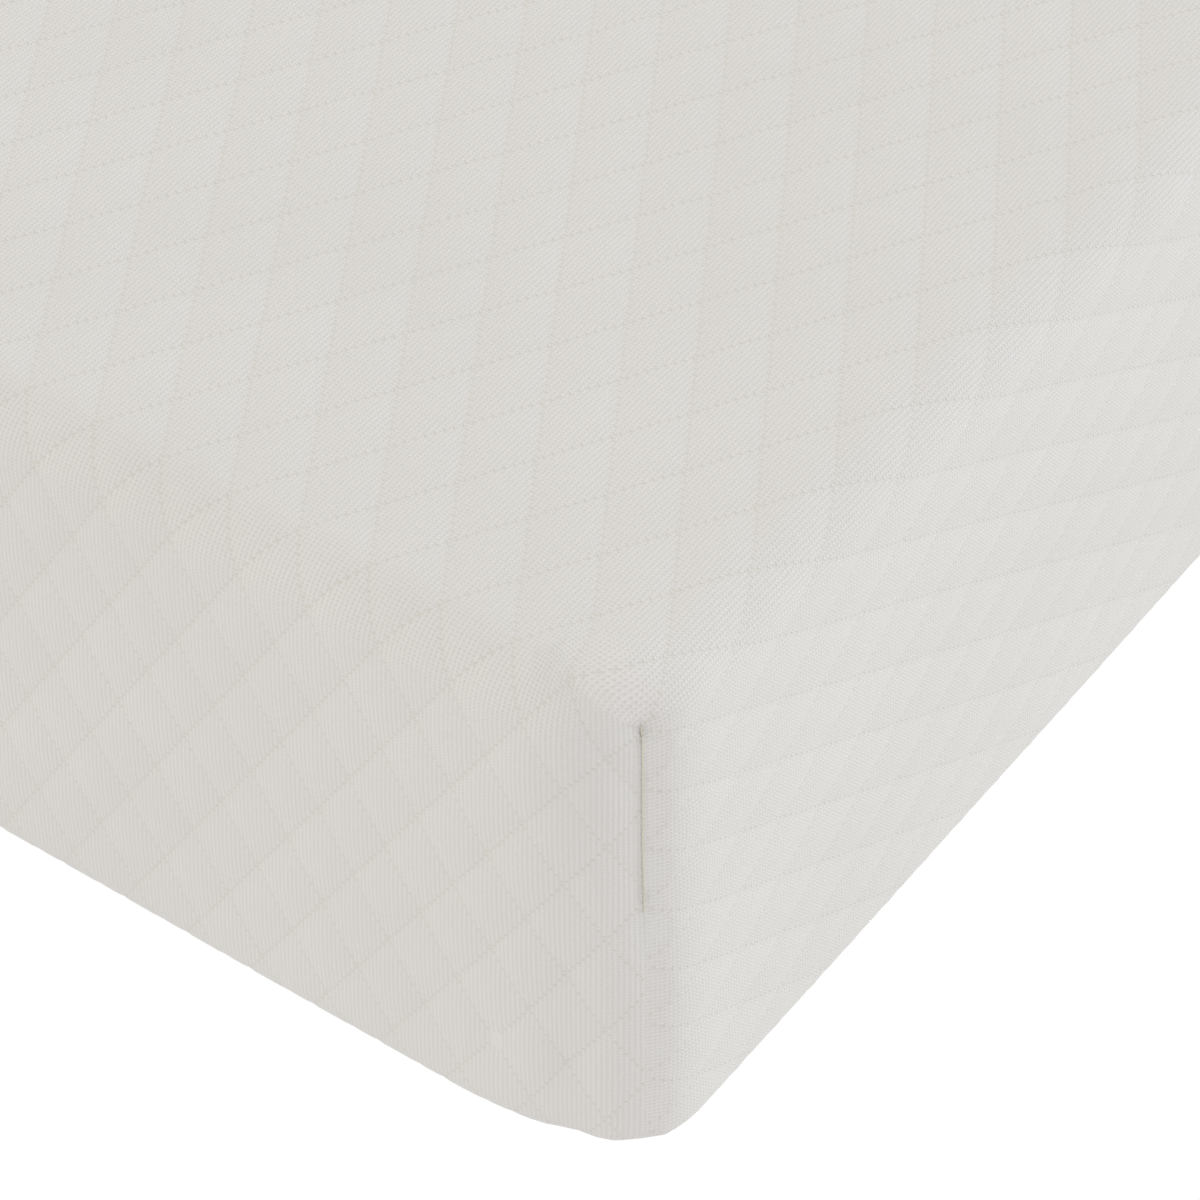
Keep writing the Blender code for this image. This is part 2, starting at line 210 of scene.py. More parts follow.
def makeKnit(name):
    look = knitLook
    material, tree, shader = newMaterial(name, 0.92, specular=0.15, sheen=0.12)
    place, u, v = fabricPlace(tree)
    wales = quilt["walesPerDiamond"]
    # Ribs run along the mattress. Each rib is one column of loops.
    ribNumber = calc(tree, "MULTIPLY", u, wales)
    ribMiddle = calc(tree, "ADD", calc(tree, "FLOOR", ribNumber), 0.5)
    acrossRib = calc(tree, "SUBTRACT", ribNumber, ribMiddle)
    rib = calc(tree, "COSINE", calc(tree, "MULTIPLY", acrossRib, 2 * math.pi))
    ribShare = calc(tree, "MULTIPLY_ADD", rib, 0.5, 0.5)
    # Loops along each rib, and the rows they make.
    course = calc(tree, "COSINE", calc(tree, "MULTIPLY", v, 2 * math.pi * quilt["coursesPerDiamond"]))
    loop = calc(tree, "MULTIPLY", rib, course)
    # Eyelets: one for each rib where a line of the quilting crosses it.
    ribPlace = calc(tree, "DIVIDE", ribMiddle, wales)
    toLineA = centred(tree, calc(tree, "SUBTRACT", calc(tree, "ADD", ribPlace, v), quilt["shiftA"]))
    toLineB = centred(tree, calc(tree, "SUBTRACT", calc(tree, "SUBTRACT", ribPlace, v), quilt["shiftB"]))
    eyeletA = spot(tree, acrossRib, toLineA, look["eyeletAcross"], look["eyeletAlong"])
    eyeletB = spot(tree, acrossRib, toLineB, look["eyeletAcross"], look["eyeletAlong"])
    eyelets = calc(tree, "MINIMUM", calc(tree, "ADD", eyeletA, eyeletB), 1.0)
    # Fine fibre noise, and a slow change of shade over the whole cover.
    stretch = tree.nodes.new("ShaderNodeMapping")
    stretch.inputs["Scale"].default_value = (1.0, 1.66, 1.0)
    tree.links.new(place, stretch.inputs["Vector"])
    fuzz = noise(tree, stretch.outputs[0], 90.0, 3.0, 0.7)
    drift = noise(tree, stretch.outputs[0], 0.35, 2.0)
    drifting = calc(tree, "MULTIPLY_ADD", drift, 0.5, 0.0)
    # The slow drift blends towards the painted groove shade as its darker tone.
    yarnShade = blendColours(tree, drifting, look["yarn"], look["groove"])
    # Painted shade: the yarn colour on the rib crests and loops, the darker groove colour between them.
    ribShadeShare = calc(tree, "MULTIPLY_ADD", loop, 0.25, calc(tree, "MULTIPLY_ADD", ribShare, 0.6, 0.2))
    ribbed = blendColours(tree, ribShadeShare, look["groove"], yarnShade)
    speckled = blendColours(tree, calc(tree, "MULTIPLY_ADD", fuzz, 0.5, -0.12), ribbed, look["yarn"])
    # Painted shade: each eyelet is coloured darker, as shade in its hole, on top of its bump.
    colour = blendColours(tree, eyelets, speckled, look["eyeletShade"])
    height = calc(tree, "MULTIPLY", rib, look["ribHeight"])
    height = calc(tree, "MULTIPLY_ADD", loop, look["loopHeight"], height)
    height = calc(tree, "MULTIPLY_ADD", course, look["courseHeight"], height)
    height = calc(tree, "MULTIPLY_ADD", fuzz, look["fuzzHeight"], height)
    height = calc(tree, "MULTIPLY_ADD", eyelets, -look["eyeletDepth"], height)
    finishShader(tree, shader, colour, height, 0.001)
    return material


def plainMesh(name, points, faces, material, uv=None, lap=None, bare=()):
    # A smooth mesh. Where a pattern goes all the way round, lap is the pattern's length there.
    # Bare faces lie between two runs of the pattern, so each gets a single spot of it.
    mesh = bpy.data.meshes.new(name)
    mesh.from_pydata(np.asarray(points).tolist(), [], faces)
    mesh.materials.append(material)
    if uv is not None:
        layer = mesh.uv_layers.new(name="fabric")
        corners = np.empty(len(mesh.loops), dtype=np.int32)
        mesh.loops.foreach_get("vertex_index", corners)
        places = np.asarray(uv, dtype=np.float32)[corners]
        if lap is not None:
            quads = places.reshape(-1, 4, 2)
            behind = quads[:, :, 1].max(axis=1, keepdims=True) - quads[:, :, 1] > lap / 2
            quads[:, :, 1] += behind * lap
        for number in bare:
            face = mesh.polygons[number]
            places[face.loop_start:face.loop_start + face.loop_total] = places[face.loop_start]
        layer.data.foreach_set("uv", places.ravel())
    mesh.shade_smooth()
    mesh.validate()
    piece = bpy.data.objects.new(name, mesh)
    bpy.context.scene.collection.objects.link(piece)
    return piece


# A single diamond blown up like a pillow: sewn edges held, soft pressure from below.
diamondPuff = {"steps": 20, "scale": 12.0, "pressure": 5.0, "frames": 20}


def puffHeights():
    # Heights over one diamond, from 0 on its edges to 1 in its middle.
    steps = diamondPuff["steps"]
    share = np.linspace(0.0, 1.0, steps + 1)
    arch = 4 * share * (1 - share)
    creased = (arch[:, None] + arch[None, :]) / 2
    points = []
    for a in share:
        for b in share:
            x = (a + b) / 2 * quilt["diamondWidth"] * diamondPuff["scale"]
            y = (a - b) / 2 * quilt["diamondLength"] * diamondPuff["scale"]
            points.append((x, y, 0.0))
    row = steps + 1
    faces = [
        (i * row + j, (i + 1) * row + j, (i + 1) * row + j + 1, i * row + j + 1)
        for i in range(steps) for j in range(steps)
    ]
    mesh = bpy.data.meshes.new("puffTrial")
    mesh.from_pydata(points, [], faces)
    pillow = bpy.data.objects.new("puffTrial", mesh)
    bpy.context.scene.collection.objects.link(pillow)
    held = pillow.vertex_groups.new(name="sewn")
    edge = [i * row + j for i in range(row) for j in range(row) if i in (0, steps) or j in (0, steps)]
    held.add(edge, 1.0, "REPLACE")
    cloth = pillow.modifiers.new("Cloth", "CLOTH")
    cloth.settings.quality = 6
    cloth.settings.mass = 0.3
    cloth.settings.tension_stiffness = 15
    cloth.settings.compression_stiffness = 15
    cloth.settings.shear_stiffness = 5
    cloth.settings.bending_stiffness = 0.5
    cloth.settings.vertex_group_mass = "sewn"
    cloth.settings.use_pressure = True
    cloth.settings.uniform_pressure_force = diamondPuff["pressure"]
    cloth.settings.effector_weights.gravity = 0.0
    for frameNumber in range(1, diamondPuff["frames"] + 1):
        bpy.context.scene.frame_set(frameNumber)
    blown = bpy.data.meshes.new_from_object(pillow.evaluated_get(bpy.context.evaluated_depsgraph_get()))
    heights = np.array([abs(vert.co.z) for vert in blown.vertices]).reshape(row, row)
    bpy.data.objects.remove(pillow, do_unlink=True)
    bpy.context.scene.frame_set(1)
    blownUp = (heights + heights.T + heights[::-1, ::-1] + heights.T[::-1, ::-1]) / 4 / heights.max()
    return blownUp * (1 - quilt["crease"]) + creased * quilt["crease"]


def sampleHeights(table, a, b):
    # Reads the table between its points.
    steps = table.shape[0] - 1
    a = (a % 1.0) * steps
    b = (b % 1.0) * steps
    i = np.minimum(a.astype(int), steps - 1)
    j = np.minimum(b.astype(int), steps - 1)
    s = a - i
    t = b - j
    return (
        table[i, j] * (1 - s) * (1 - t) + table[i + 1, j] * s * (1 - t)
        + table[i, j + 1] * (1 - s) * t + table[i + 1, j + 1] * s * t
    )


def edgeProfile(run):
    # Goes over the edge, down the side and under. Returns how far out, how high and how far tipped over.
    top = cover["topRadius"]
    bottom = cover["bottomRadius"]
    afterTop = run - flatRun - top * math.pi / 2
    afterWall = afterTop - wallHeight
    topAngle = np.clip((run - flatRun) / top, 0, math.pi / 2)
    bottomAngle = np.clip(afterWall / bottom, 0, math.pi / 2)
    under = np.maximum(afterWall - bottom * math.pi / 2, 0)
    out = np.clip(run, 0, flatRun) + top * np.sin(topAngle) - bottom * (1 - np.cos(bottomAngle)) - under
    drop = top * (1 - np.cos(topAngle)) + np.clip(afterTop, 0, wallHeight) + bottom * np.sin(bottomAngle)
    return out, depth - drop, topAngle + bottomAngle


def layFabric(x, y):
    # Puts points of the flat cloth on the mattress. Returns places, outward directions, facts for the seams.
    signX = np.where(x < 0, -1.0, 1.0)
    signY = np.where(y < 0, -1.0, 1.0)
    centreX = halfWidth - cover["cornerRadius"]
    centreY = halfLength - cover["cornerRadius"]
    u = np.abs(x) - centreX
    v = np.abs(y) - centreY
    uRun = np.maximum(u, 0)
    vRun = np.maximum(v, 0)
    shareU = uRun / endReach
    shareV = vRun / sideReach
    endFlap = shareV >= shareU
    # How far round the corner, from the end face: true to the cloth on top, evenly spread down the sides.
    least = 1e-9
    evenEnd = seam["turn"] * shareU / np.maximum(np.minimum(shareV, 1.0), least)
    nearSide = shareV / np.maximum(np.minimum(shareU, 1.0), least)
    evenSide = math.pi / 2 - (math.pi / 2 - seam["turn"]) * nearSide
    evenTurn = np.where(endFlap, np.minimum(evenEnd, seam["turn"]), np.maximum(evenSide, seam["turn"]))
    blend = smoothStep(np.maximum(shareU, shareV), 0.25, 1.0)
    turn = np.arctan2(uRun, np.maximum(vRun, least)) * (1 - blend) + evenTurn * blend
    opened = smoothStep(np.maximum(shareU, shareV), 1.0, 1.15) * seam["gap"]
    turn = np.where(endFlap, turn * (1 - opened), turn + (math.pi / 2 - turn) * opened)
    spareEnd = (np.hypot(uRun, sideReach) - sideReach) * np.exp(-np.maximum(vRun - sideReach, 0) / 0.06)
    spareSide = (np.hypot(vRun, endReach) - endReach) * np.exp(-np.maximum(uRun - endReach, 0) / 0.06)
    longRun = np.where(endFlap, vRun + spareEnd, uRun + spareSide)
    run = np.where(np.maximum(shareU, shareV) <= 1.0, np.hypot(uRun, vRun), longRun)
    out, height, tip = edgeProfile(run)
    # Low down, the long side leans out past the corner while the end flap is drawn in beside it.
    swell = 1 + seam["cornerSwell"] * np.exp(-((turn - 1.2) / 0.2) ** 2)
    drawnIn = smoothStep(u, -0.024, 0.022) * (1 - smoothStep(turn, 0.36, 0.80)) * (v > 0)
    lean = seam["sideLean"] * smoothStep(turn, 0.55, 1.15) * swell - seam["cornerCut"] * drawnIn
    out = out + lean * smoothStep(run, 0.05, 0.20)
    directionX = signX * np.sin(turn)
    directionY = signY * np.cos(turn)
    onTop = (u <= 0) & (v <= 0)
    places = np.stack([
        np.where(u > 0, signX * centreX, x) + np.where(onTop, 0.0, directionX * out),
        np.where(v > 0, signY * centreY, y) + np.where(onTop, 0.0, directionY * out),
        np.where(onTop, depth, height),
    ], axis=-1)
    normals = np.stack([directionX * np.sin(tip), directionY * np.sin(tip), np.cos(tip)], axis=-1)
    normals[onTop] = (0, 0, 1)
    # Distance to the corner seam along the cloth, and how far down the seam a point is.
    aside = np.where(endFlap, endReach - u, sideReach - v)
    down = np.where(endFlap, v - sideReach, u - endReach)
    inCorner = np.where(endFlap, u, v) > -0.02
    facts = {"aside": aside, "down": down, "inCorner": inCorner, "endFlap": endFlap, "run": run}
    return places, normals, facts


def seamSink(facts):
    # How far the fabric is drawn in towards a corner seam.
    down = facts["down"]
    aside = np.hypot(np.maximum(facts["aside"], 0), np.maximum(-down, 0) * 1.6)
    share = down / wallHeight
    lower = smoothStep(share, 0.34, 0.66)
    start = smoothStep(down, -0.014, 0.005)
    fade = 1 - smoothStep(share, 0.93, 1.06)
    deep = (seam["deep"] * (1 - lower) + seam["shallow"] * lower) * start
    deepValley = deep * np.exp(-(aside / seam["deepWidth"]) ** 1.4)
    lip = seam["lip"] * lower * fade * np.exp(-((aside - 0.0022) / 0.0013) ** 2)
    shallowValley = deep * np.exp(-(aside / seam["shallowWidth"]) ** 1.5)
    puckerAside = (aside / seam["puckerWidth"]) ** 2
    puckerDown = ((down - 0.003) / seam["puckerWidth"]) ** 2
    pucker = seam["pucker"] * np.exp(-puckerAside - puckerDown)
    sunk = np.where(facts["endFlap"], deepValley - lip, shallowValley) + pucker
    return np.where(facts["inCorner"], sunk, 0.0)


def quiltPlace(x, y):
    # Fabric place counted in diamonds from the foot right corner.
    return (x - halfWidth) / quilt["diamondWidth"], (y + halfLength) / quilt["diamondLength"]


def reliefAt(table, x, y, facts):
    # Height of the quilting, flattened towards the hem and beside the corner seams.
    u, v = quiltPlace(x, y)
    heights = sampleHeights(table, u + v - quilt["shiftA"], u - v - quilt["shiftB"])
    raised = quilt["puff"] * heights - quilt["sink"]
    seamSide = np.hypot(np.maximum(facts["aside"], 0), np.maximum(-facts["down"], 0))
    keep = np.where(facts["inCorner"], smoothStep(seamSide, 0.0005, 0.006), 1.0)
    tight = smoothStep(facts["run"], cover["quiltEnd"] - 0.050, cover["quiltEnd"] - 0.015)
    hem = 1 - tight * (1 - quilt["hemPuff"])
    slow = 0.00025 * np.sin(x * 31 + 1.3) * np.sin(y * 23 + 0.4) + 0.0002 * np.sin(x * 57 - y * 41)
    return (raised + slow) * keep * hem


def dressedPoint(table, x, y, proud=0.0):
    # Cloth place to finished place: laid on, puffed, drawn in at the seams.
    places, normals, facts = layFabric(x, y)
    lift = reliefAt(table, x, y, facts) - seamSink(facts) + proud
    return places + normals * lift[..., None], normals, facts


def ringAround(sides, shares, inset, radius, height, reach=None):
    # Rounded rectangle this far in. Sides count 0 foot, 1 right, 2 head, 3 left. Shares run -1 to 1 on each.
    # Reach is the half length the shares were taken from. With it, points clear of the corners stay in line.
    longSide = sides % 2 == 1
    half = np.where(longSide, halfLength, halfWidth)
    total = half - inset - radius + radius * math.pi / 4
    straight = half - inset - radius
    along = shares * total
    if reach is not None:
        knee = half - cover["lipCornerCentre"] - cover["kneeBeforeCorner"]
        place = np.abs(shares) * reach
        bent = knee + (place - knee) * (total - knee) / (reach - knee)
        along = np.sign(shares) * np.where(place < knee, place, bent)
    angle = np.maximum(np.abs(along) - straight, 0) / max(radius, 1e-9)
    slide = np.sign(along) * (np.minimum(np.abs(along), straight) + radius * np.sin(angle))
    away = np.where(longSide, halfWidth, halfLength) - inset - radius * (1 - np.cos(angle))
    x = np.select([sides == 0, sides == 1, sides == 2], [slide, away, -slide], -away)
    y = np.select([sides == 0, sides == 1, sides == 2], [-away, slide, away], -slide)
    return np.stack([x, y, np.full_like(x, height)], axis=-1)


def evenRing(count):
    # Sides and shares for a ring of its own, evenly split over each side.
    perSide = [int(count * part) for part in (0.16, 0.34, 0.16, 0.34)]
    sides = np.concatenate([np.full(n, i) for i, n in enumerate(perSide)])
    shares = np.concatenate([np.linspace(-1, 1, n, endpoint=False) for n in perSide])
    return sides, shares


def joinRings(first, second):
    # Quads between two rings of the same count, given by their first point's number.
    count = len(first)
    return [(first[i], first[(i + 1) % count], second[(i + 1) % count], second[i]) for i in range(count)]


def zipTogether(firstRail, firstKeys, secondRail, secondKeys):
    # Triangles between two rails of different counts, stepping along whichever is behind.
    faces = []
    i = j = 0
    while i < len(firstRail) - 1 or j < len(secondRail) - 1:
        stepFirst = j == len(secondRail) - 1 or (
            i < len(firstRail) - 1 and firstKeys[i + 1] <= secondKeys[j + 1]
        )
        if stepFirst:
            faces.append((firstRail[i], firstRail[i + 1], secondRail[j]))
            i += 1
        else:
            faces.append((firstRail[i], secondRail[j + 1], secondRail[j]))
            j += 1
    return faces


def quiltGrid():
    # The lattice of grid lines that follow the quilting, cut to the cover's cross shape.
    nodes = np.array(quilt["nodes"])
    reachX = halfWidth - cover["cornerRadius"] + cover["quiltEnd"]
    reachY = halfLength - cover["cornerRadius"] + cover["quiltEnd"]
    cornersX = np.array([-reachX, -reachX, reachX, reachX])
    cornersY = np.array([-reachY, reachY, -reachY, reachY])
    u, v = quiltPlace(cornersX, cornersY)
    a = u + v - quilt["shiftA"]
    b = u - v - quilt["shiftB"]
    linesA = (np.arange(math.floor(a.min()), math.ceil(a.max()))[:, None] + nodes).ravel()
    linesB = (np.arange(math.floor(b.min()), math.ceil(b.max()))[:, None] + nodes).ravel()
    gridA, gridB = np.meshgrid(linesA + quilt["shiftA"], linesB + quilt["shiftB"], indexing="ij")
    x = (gridA + gridB) / 2 * quilt["diamondWidth"] + halfWidth
    y = (gridA - gridB) / 2 * quilt["diamondLength"] - halfLength
    return x, y


def insideCut(x, y):
    u = np.abs(x) - (halfWidth - cover["cornerRadius"])
    v = np.abs(y) - (halfLength - cover["cornerRadius"])
    end = cover["quiltEnd"]
    return ((u <= endReach) & (v <= end)) | ((v <= sideReach) & (u <= end))


def shortOf(value, limit):
    # Crowds what is beyond a limit closely before it, keeping its order.
    room = 0.003
    over = np.maximum(value - limit + room, 0)
    return np.minimum(value, limit - room) + room * 0.93 * (1 - np.exp(-over / 0.004))


def makeCover(table):
    x, y = quiltGrid()
    centreX = (x[:-1, :-1] + x[1:, 1:]) / 2
    centreY = (y[:-1, :-1] + y[1:, 1:]) / 2
    kept = insideCut(centreX, centreY)
    rows, columns = x.shape
    number = np.arange(rows * columns).reshape(rows, columns)
    quads = np.stack([number[:-1, :-1], number[:-1, 1:], number[1:, 1:], number[1:, :-1]], axis=-1)[kept]
    uses = np.bincount(quads.ravel(), minlength=rows * columns)
    used = np.flatnonzero(uses)
    renumber = np.full(rows * columns, -1)
    renumber[used] = np.arange(len(used))
    quads = renumber[quads]
    x = x.ravel()[used]
    y = y.ravel()[used]
    border = uses[used] < 4

    # Border points move onto the cut's edge: the hem line, or one of the seam lines.
    u = np.abs(x) - (halfWidth - cover["cornerRadius"])
    v = np.abs(y) - (halfLength - cover["cornerRadius"])
    end = cover["quiltEnd"]
    gaps = np.stack([
        np.abs(v - end) + np.maximum(u - endReach, 0),
        np.abs(u - end) + np.maximum(v - sideReach, 0),
        np.abs(u - endReach) + np.maximum(sideReach - v, 0),
        np.abs(v - sideReach) + np.maximum(endReach - u, 0),
    ])
    nearest = np.where(border, gaps.argmin(axis=0), -1)
    u = np.where(nearest == 1, end, np.where(nearest == 2, endReach, u))
    v = np.where(nearest == 0, end, np.where(nearest == 3, sideReach, v))
    u = np.where(nearest == 0, shortOf(u, endReach), u)
    v = np.where(nearest == 1, shortOf(v, sideReach), v)
    u = np.where(nearest == 3, shortOf(np.maximum(u, endReach), end), u)
    v = np.where(nearest == 2, shortOf(np.maximum(v, sideReach), end), v)
    signX = np.where(x < 0, -1, 1)
    signY = np.where(y < 0, -1, 1)
    borderNumbers = np.flatnonzero(border)
    rails = {}
    for sideX in (-1, 1):
        for sideY in (-1, 1):
            here = borderNumbers[(signX[borderNumbers] == sideX) & (signY[borderNumbers] == sideY)]
            ends = {}
            targets = (
                ("top", endReach, sideReach),
                ("endFlap", endReach, end),
                ("sideFlap", end, sideReach),
            )
            for label, atU, atV in targets:
                pick = here[np.hypot(u[here] - atU, v[here] - atV).argmin()]
                u[pick], v[pick] = atU, atV
                ends[label] = pick
            endRail = here[(np.abs(u[here] - endReach) < 1e-9) & (v[here] > sideReach)]
            endRail = endRail[v[endRail].argsort()]
            sideRail = here[(np.abs(v[here] - sideReach) < 1e-9) & (u[here] > endReach)]
            sideRail = sideRail[u[sideRail].argsort()]
            rails[(sideX, sideY)] = ([ends["top"], *endRail], [ends["top"], *sideRail])
    x = signX * (u + halfWidth - cover["cornerRadius"])
    y = signY * (v + halfLength - cover["cornerRadius"])
    points, _, facts = dressedPoint(table, x, y)
    uvs = np.stack(quiltPlace(x, y), axis=-1)
    faces = quads.tolist()
    seamFaces = range(len(faces), len(faces) + sum(len(a) + len(b) - 2 for a, b in rails.values()))
    for (sideX, sideY), (endRail, sideRail) in rails.items():
        strip = zipTogether(endRail, facts["run"][endRail], sideRail, facts["run"][sideRail])
        flip = sideX * sideY > 0
        faces += [face[::-1] if flip else face for face in strip]

    # The hem's edge as one loop, side by side.
    loop, sides, shares, reaches = [], [], [], []
    for side in range(4):
        longSide = side % 2 == 1
        outwards = -1 if side in (0, 3) else 1
        here = borderNumbers[
            (np.abs((u if longSide else v)[borderNumbers] - end) < 1e-9)
            & ((signX if longSide else signY)[borderNumbers] == outwards)
        ]
        forwards = (1, 1, -1, -1)[side]
        position = (y if longSide else x)[here] * forwards
        order = position.argsort()
        position = position[order]
        straight = (halfLength if longSide else halfWidth) - cover["cornerRadius"]
        loop += here[order].tolist()
        sides += [side] * len(here)
        reach = straight + (sideReach if longSide else endReach)
        shares += np.clip(position / reach, -0.9996, 0.9996).tolist()
        reaches += [reach] * len(here)
    hem = (np.array(loop), np.array(sides), np.array(shares), np.array(reaches))
    return points, uvs, faces, seamFaces, hem


# How far apart loose points may be when they are merged, nearest first, and how short an edge is dropped.
seamEnds = {"merging": (0.0004, 0.0016, 0.0032), "sliver": 0.0001}


def closeSeamEnds(piece):
    # Merges the last few loose edges where a corner seam meets the hem, then fills what is still open.
    bm = bmesh.new()
    bm.from_mesh(piece.data)
    for reach in seamEnds["merging"]:
        loose = {vert for edge in bm.edges if len(edge.link_faces) != 2 for vert in edge.verts}
        bmesh.ops.remove_doubles(bm, verts=list(loose), dist=reach)
        unevenEdges = [edge for edge in bm.edges if len(edge.link_faces) != 2]
        bmesh.ops.dissolve_degenerate(bm, edges=unevenEdges, dist=seamEnds["sliver"])
    loose = [edge for edge in bm.edges if len(edge.link_faces) == 1]
    if loose:
        bmesh.ops.holes_fill(bm, edges=loose, sides=0)
    bm.to_mesh(piece.data)
    bm.free()


def makeCoverPiece(table, material):
    points, uvs, faces, seamFaces, (loop, sides, shares, reaches) = makeCover(table)
    # Plain knit hem from the quilting to the lip beside the zip, then the lining back up inside.
    centre = cover["lipCornerCentre"]
    rings = []
    lip = cover["lipRise"]
    hemStart = 0.018  # how far in the quilting has come by its edge
    stations = [(0.0245, 0.0), (0.0345, 0.0)]
    for step in range(7):
        share = step / 6
        stations.append((0.0355 + 0.0055 * share, lip * float(smoothStep(share, 0.0, 1.0))))
    stations += [(0.0420, lip), (cover["lipInset"] - 0.0006, lip), (cover["lipInset"], lip + 0.0003)]
    lip += cover["lipThickness"]
    stations += [(cover["lipInset"], lip - 0.0003), (cover["lipInset"] - 0.0006, lip), (0.0400, lip),
                 (0.0375, 0.0034), (0.0355, 0.00135)]
    for inset, height in stations:
        # The corner opens out from the cover's own rounding to the zip's.
        opened = 1 - smoothStep(inset, cover["hemCornerFrom"], cover["hemCornerTo"])
        centreHere = centre + (cover["cornerRadius"] + 0.012 - centre) * opened
        rings.append((inset, float(centreHere) - inset, height))
    inner = cover["liningDepth"]
    corner = cover["liningCornerRadius"]
    for radius, isTop in ((cover["bottomRadius"], False), (cover["topRadius"], True)):
        for step in range(7):
            angle = math.pi / 2 * (step if isTop else 6 - step) / 6
            inset = radius - (radius - inner) * math.cos(angle)
            drop = radius - (radius - inner) * math.sin(angle)
            rings.append((inset, corner - inset, depth - drop if isTop else drop))
    count = len(loop)
    allPoints = [points]
    allUvs = [uvs]
    previous = loop
    start = len(points)
    edgeUv = uvs[loop]
    cornerFaces = []
    turning = np.flatnonzero(sides != np.roll(sides, -1))
    outward = np.stack([
        np.where(sides % 2 == 1, np.where(sides == 1, 1.0, -1.0), 0.0),
        np.where(sides % 2 == 0, np.where(sides == 2, 1.0, -1.0), 0.0),
    ], axis=-1)
    scale = np.array([quilt["diamondWidth"], quilt["diamondLength"]])
    for inset, radius, height in rings:
        ring = ringAround(sides, shares, inset, radius, height, reaches)
        travelled = max(inset - hemStart, 0.0)
        allPoints.append(ring)
        allUvs.append(edgeUv + outward * travelled / scale)
        numbers = np.arange(start, start + count)
        cornerFaces += [len(faces) + int(k) for k in turning]
        faces += [tuple(int(k) for k in face[::-1]) for face in joinRings(previous, numbers)]
        previous = numbers
        start += count
    faces.append(tuple(int(k) for k in previous[::-1]))
    piece = plainMesh("quilted_cover", np.concatenate(allPoints), faces, material, np.concatenate(allUvs),
                      bare=[*seamFaces, *cornerFaces])
    closeSeamEnds(piece)
    return piece


# The plain panel underneath, and the groove the zip lies in.
underside = {
    "panelLip": 0.0590,
    "panelTurn": 0.0645,  # where the panel starts to come down to the floor
    "panelFlat": 0.0700,  # and where it lies flat
    "thickness": 0.0012,
    "sections": 900,  # points round each ring
}


def ringPiece(name, stations, material, capped, patternScale=None):
    # Joins rounded rectangles into one closed piece: capped at both ends, or closed round its own section.
    sides, shares = evenRing(underside["sections"])
    count = len(sides)
    rings = [ringAround(sides, shares, inset, cover["lipCornerCentre"] - inset, height)
             for inset, height in stations]
    points = np.concatenate(rings)
    faces = []
    last = len(rings) if not capped else len(rings) - 1
    for k in range(last):
        first = range(k * count, (k + 1) * count)
        other = (k + 1) % len(rings)
        second = range(other * count, (other + 1) * count)
        faces += joinRings(first, second)
    lap = None
    if patternScale is None:
        uv = np.stack(quiltPlace(points[:, 0], points[:, 1]), axis=-1)
    else:
        steps = np.linalg.norm(np.diff(rings[0], axis=0, append=rings[0][:1]), axis=1)
        along = np.concatenate([[0.0], np.cumsum(steps)]) / patternScale
        lap = round(float(along[-1]))
        along = along[:-1] * lap / along[-1]
        across = [inset / patternScale for inset, _ in stations]
        uv = np.concatenate([np.stack([np.full(count, place), along], axis=-1) for place in across])
    if capped:
        faces.append(tuple(range(count))[::-1])
        faces.append(tuple(range((len(rings) - 1) * count, len(rings) * count)))
    return plainMesh(name, points, faces, material, uv, lap)


def makeBasePanel(material):
    lip = cover["lipRise"]
    turn = underside["panelTurn"]
    flat = underside["panelFlat"]
    under = [(underside["panelLip"], lip)]
    for step in range(9):
        share = step / 8
        under.append((turn + (flat - turn) * share, lip * (1 - smoothStep(share, 0.0, 1.0))))
    under.append((flat + 0.004, 0.0))
    over = [(inset, height + underside["thickness"]) for inset, height in under]
    return ringPiece("base_panel", under[::-1] + over, material, True)


zipFacts = {
    "tapeWidth": 0.0145,
    "tapeGap": 0.0010,
    "turnPitch": 0.00135,
    "filament": 0.00030,
    "headFrom": 0.00096,  # middle of the filament at the head and at the tape, from the zip's middle line
    "heelFrom": 0.00308,
    "turnHalfHeight": 0.0007,
    "tapeCrown": 0.00006,  # how much the tape's faces bulge or hollow in the middle
}


def makeTape(name, nearInset, farInset, nodeName, material):
    nodeLow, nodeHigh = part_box(nodeName)
    low = nodeLow.z
    high = nodeHigh.z
    # Woven edges are a little thicker than the middle.
    width = farInset - nearInset
    crown = zipFacts["tapeCrown"]
    outline = []
    for share in (0.0, 0.1, 0.3, 0.5, 0.7, 0.9, 1.0):
        outline.append((nearInset + width * share, low + crown * math.sin(share * math.pi)))
    over = [
        (inset, high - crown * math.sin((inset - nearInset) / width * math.pi))
        for inset, _ in outline
    ]
    return ringPiece(name, over + outline[::-1], material, False, 0.001)


def pathAround(inset, startY, endY, spacing, height):
    # Evenly spaced points from startY on the left long side, by foot, right and head, back round to endY.
    sides, shares = evenRing(6000)
    ring = ringAround(sides, shares, inset, cover["lipCornerCentre"] - inset, height)
    startPlace = np.array([-(halfWidth - inset), startY, height])
    ring = np.roll(ring, -np.abs(ring - startPlace).sum(axis=1).argmin(), axis=0)
    steps = np.linalg.norm(np.diff(ring, axis=0), axis=1)
    length = np.concatenate([[0.0], np.cumsum(steps)])
    total = length[-1] + np.linalg.norm(ring[0] - ring[-1]) - (endY - startY)
    at = np.arange(spacing / 2, total, spacing)
    places = np.stack([np.interp(at, length, ring[:, axis]) for axis in range(3)], axis=-1)
    ahead = np.stack([np.interp(at + 0.0005, length, ring[:, axis]) for axis in range(3)], axis=-1)
    before = np.stack([np.interp(at - 0.0005, length, ring[:, axis]) for axis in range(3)], axis=-1)
    along = ahead - before
    along /= np.linalg.norm(along, axis=1, keepdims=True)
    outwards = np.stack([along[:, 1], -along[:, 0], np.zeros(len(along))], axis=-1)
    return places, along, outwards


